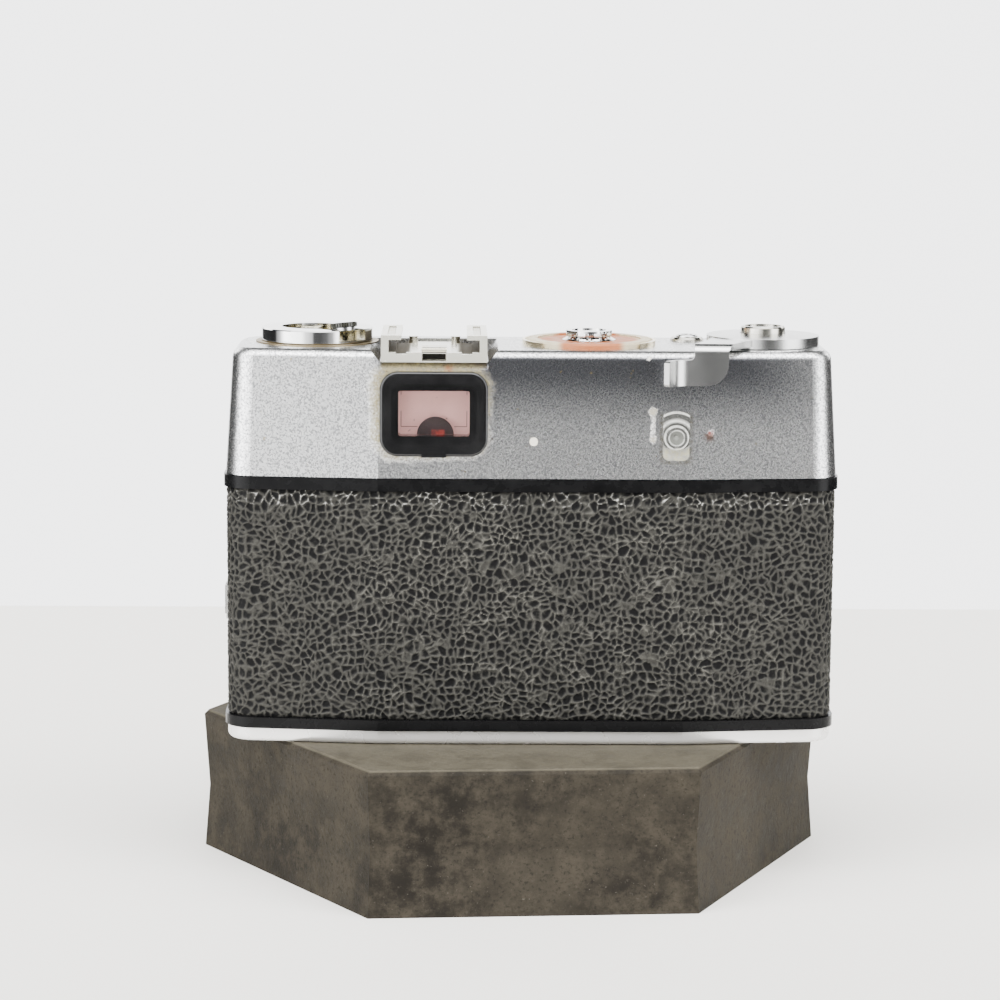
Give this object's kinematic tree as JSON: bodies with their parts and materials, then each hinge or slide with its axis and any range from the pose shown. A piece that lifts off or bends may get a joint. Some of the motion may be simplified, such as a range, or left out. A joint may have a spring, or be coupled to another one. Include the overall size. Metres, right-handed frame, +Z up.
{
  "type": "rangefinder film camera",
  "caption": "Fixed-lens 35 mm film camera standing back outward on a hexagonal block; its back, lens, lever, rewind and dial move, and it lifts off the block.",
  "frame": {"origin": "centre of the underside of the hexagonal block the camera stands on", "axes": "+Z up, +Y towards the lens (the camera's back faces -Y), +X to the right seen from the back"},
  "size_m": [0.1358, 0.1218, 0.1186],
  "materials": {
    "display_block": "matte dark grey-brown, mottled",
    "body_casting": "gloss black enamel rims, matte black chambers",
    "base_plate": "satin chrome",
    "case_screws": "satin chrome",
    "tripod_socket": "turned steel",
    "rewind_button": "satin chrome",
    "back_door": "gloss black enamel rims",
    "back_leather": "coarse black crackle grain, dusty creases",
    "front_leather": "coarse black crackle grain",
    "hinge_pin": "bright steel",
    "pressure_plate": "satin black",
    "pressure_springs": "spring bronze",
    "back_latch": "satin chrome",
    "top_cover": "satin pearl chrome, worn",
    "eyepiece_frame": "black moulded",
    "eyepiece_lens": "clear, slightly pink",
    "finder_mask": "matte black",
    "beam_splitter": "pink half-silvered",
    "finder_block": "matte black",
    "front_window_frame": "black moulded",
    "front_windows": "clear",
    "sync_socket": "worn nickel",
    "sync_insulator": "ivory insulator",
    "sync_pin": "dull brass",
    "adjuster_cap": "off-white",
    "accessory_shoe": "worn yellowed chrome",
    "shoe_spring": "spring steel",
    "shoe_screws": "dull steel",
    "rewind_seat": "tarnished",
    "rewind_collar": "turned brass",
    "rewind_knob": "scuffed chrome, turned top",
    "rewind_crank": "satin chrome",
    "crank_pin": "steel",
    "crank_handle": "black",
    "dial_plate": "faded orange scale",
    "dial_bezel": "worn gilt",
    "dial_knob": "bright chrome",
    "button_collar": "worn chrome",
    "shutter_button": "worn chrome",
    "button_spring": "spring steel",
    "advance_lever": "satin with polished edges",
    "counter_bezel": "turned chrome",
    "counter_window": "yellowed clear",
    "frame_counter": "black with white marks",
    "sprocket": "turned steel",
    "takeup_spool": "black",
    "lens_barrel": "satin",
    "focus_ring": "fluted satin",
    "aperture_ring": "black anodised",
    "speed_ring": "fluted satin",
    "filter_ring": "black anodised",
    "front_cell": "matte black",
    "front_element": "coated",
    "middle_element": "coated",
    "rear_element": "coated",
    "rear_cell": "black anodised",
    "aperture_blades": "blackened steel",
    "shutter_blades": "blackened steel",
    "self_timer_lever": "satin chrome"
  },
  "bodies": {
    "block": {"display_block": "display_block"},
    "camera": {"body_casting": "body_casting", "base_plate": "base_plate", "case_screws": "case_screws", "tripod_socket": "tripod_socket", "hinge_pin": "hinge_pin", "front_leather": "front_leather", "top_cover": "top_cover", "eyepiece_frame": "eyepiece_frame", "eyepiece_lens": "eyepiece_lens", "finder_mask": "finder_mask", "beam_splitter": "beam_splitter", "finder_block": "finder_block", "front_window_frame": "front_window_frame", "front_windows": "front_windows", "sync_socket": "sync_socket", "sync_insulator": "sync_insulator", "sync_pin": "sync_pin", "adjuster_cap": "adjuster_cap", "accessory_shoe": "accessory_shoe", "shoe_spring": "shoe_spring", "shoe_screws": "shoe_screws", "rewind_seat": "rewind_seat", "dial_plate": "dial_plate", "dial_bezel": "dial_bezel", "button_collar": "button_collar", "button_spring": "button_spring", "counter_bezel": "counter_bezel", "counter_window": "counter_window", "lens_barrel": "lens_barrel", "filter_ring": "filter_ring", "middle_element": "middle_element", "rear_element": "rear_element", "rear_cell": "rear_cell", "aperture_blades": "aperture_blades", "shutter_blades": "shutter_blades"},
    "back": {"back_door": "back_door", "back_leather": "back_leather", "pressure_plate": "pressure_plate", "pressure_springs": "pressure_springs"},
    "latch": {"back_latch": "back_latch"},
    "wind_lever": {"advance_lever": "advance_lever"},
    "counter": {"frame_counter": "frame_counter"},
    "film_sprocket": {"sprocket": "sprocket"},
    "take_up": {"takeup_spool": "takeup_spool"},
    "release": {"shutter_button": "shutter_button"},
    "rewind_lift": {"rewind_collar": "rewind_collar"},
    "rewind_spindle": {"rewind_knob": "rewind_knob", "crank_pin": "crank_pin"},
    "crank": {"rewind_crank": "rewind_crank"},
    "handle": {"crank_handle": "crank_handle"},
    "film_dial": {"dial_knob": "dial_knob"},
    "focus": {"focus_ring": "focus_ring"},
    "aperture": {"aperture_ring": "aperture_ring"},
    "speed": {"speed_ring": "speed_ring"},
    "front_group": {"front_cell": "front_cell", "front_element": "front_element"},
    "self_timer": {"self_timer_lever": "self_timer_lever"},
    "rewind_free": {"rewind_button": "rewind_button"}
  },
  "joints": [
    {"name": "camera_lift", "type": "slide", "parent": "block", "child": "camera", "axis": [0, 0, 1], "range_m": [0, 0.08]},
    {"name": "back_hinge", "type": "hinge", "parent": "camera", "child": "back", "pos_m": [0.0663, -0.0206, 0.0607], "axis": [0, 0, 1], "range_deg": [0, 110]},
    {"name": "latch_slide", "type": "slide", "parent": "camera", "child": "latch", "axis": [0, 0, 1], "range_m": [0, 0.0024]},
    {"name": "lever_stroke", "type": "hinge", "parent": "camera", "child": "wind_lever", "pos_m": [0.052, -0.0206, 0.1152], "axis": [0, 0, 1], "range_deg": [0, 150], "stiffness_Nm_per_rad": 0.008, "springref_deg": -22.92},
    {"name": "counter_step", "type": "hinge", "parent": "camera", "child": "counter", "pos_m": [0.052, -0.0206, 0.1167], "axis": [0, 0, 1], "range_deg": [0, 18]},
    {"name": "sprocket_turn", "type": "hinge", "parent": "camera", "child": "film_sprocket", "pos_m": [0.0306, -0.0246, 0.0607], "axis": [0, 0, 1], "range_deg": [0, 360]},
    {"name": "spool_turn", "type": "hinge", "parent": "camera", "child": "take_up", "pos_m": [0.0486, -0.0176, 0.0607], "axis": [0, 0, 1], "range_deg": [-330, 0]},
    {"name": "release_press", "type": "slide", "parent": "camera", "child": "release", "axis": [0, 0, -1], "range_m": [0, 0.0012], "stiffness_N_per_m": 600, "springref_m": -0.001, "deforming": ["button_spring"]},
    {"name": "rewind_pull", "type": "slide", "parent": "camera", "child": "rewind_lift", "axis": [0, 0, 1], "range_m": [0, 0.013]},
    {"name": "rewind_spin", "type": "hinge", "parent": "rewind_lift", "child": "rewind_spindle", "pos_m": [-0.0422, -0.0176, 0.1107], "axis": [0, 0, 1], "continuous": true},
    {"name": "crank_fold", "type": "hinge", "parent": "rewind_spindle", "child": "crank", "pos_m": [-0.0439, -0.01577, 0.1151], "axis": [-0.7314, -0.682, 0], "range_deg": [-8.5, 140]},
    {"name": "handle_spin", "type": "hinge", "parent": "crank", "child": "handle", "pos_m": [-0.03622, -0.02402, 0.11678], "axis": [-0.1008, 0.1081, 0.989], "continuous": true},
    {"name": "film_dial_turn", "type": "hinge", "parent": "camera", "child": "film_dial", "pos_m": [0.01525, -0.0204, 0.1157], "axis": [0, 0, 1], "range_deg": [0, 300]},
    {"name": "focus_turn", "type": "hinge", "parent": "camera", "child": "focus", "pos_m": [0.0031, 0.0004, 0.0602], "axis": [0, 1, 0], "range_deg": [0, 90]},
    {"name": "aperture_turn", "type": "hinge", "parent": "camera", "child": "aperture", "pos_m": [0.0031, 0.0044, 0.0602], "axis": [0, 1, 0], "range_deg": [0, 60]},
    {"name": "speed_turn", "type": "hinge", "parent": "camera", "child": "speed", "pos_m": [0.0031, 0.0084, 0.0602], "axis": [0, 1, 0], "range_deg": [0, 110]},
    {"name": "front_group_travel", "type": "slide", "parent": "camera", "child": "front_group", "axis": [0, 1, 0], "range_m": [0, 0.002]},
    {"name": "self_timer_set", "type": "hinge", "parent": "camera", "child": "self_timer", "pos_m": [-0.0309, -0.0016, 0.0707], "axis": [0, 1, 0], "range_deg": [0, 95]},
    {"name": "rewind_free_press", "type": "slide", "parent": "camera", "child": "rewind_free", "axis": [0, 0, 1], "range_m": [0, 0.001]}
  ],
  "couplings": [
    {"joint": "counter_step", "follows": "lever_stroke", "ratio": 0.12},
    {"joint": "sprocket_turn", "follows": "lever_stroke", "ratio": 2.4},
    {"joint": "spool_turn", "follows": "lever_stroke", "ratio": -2.2},
    {"joint": "front_group_travel", "follows": "focus_turn", "m_per_rad": 0.0012732}
  ]
}
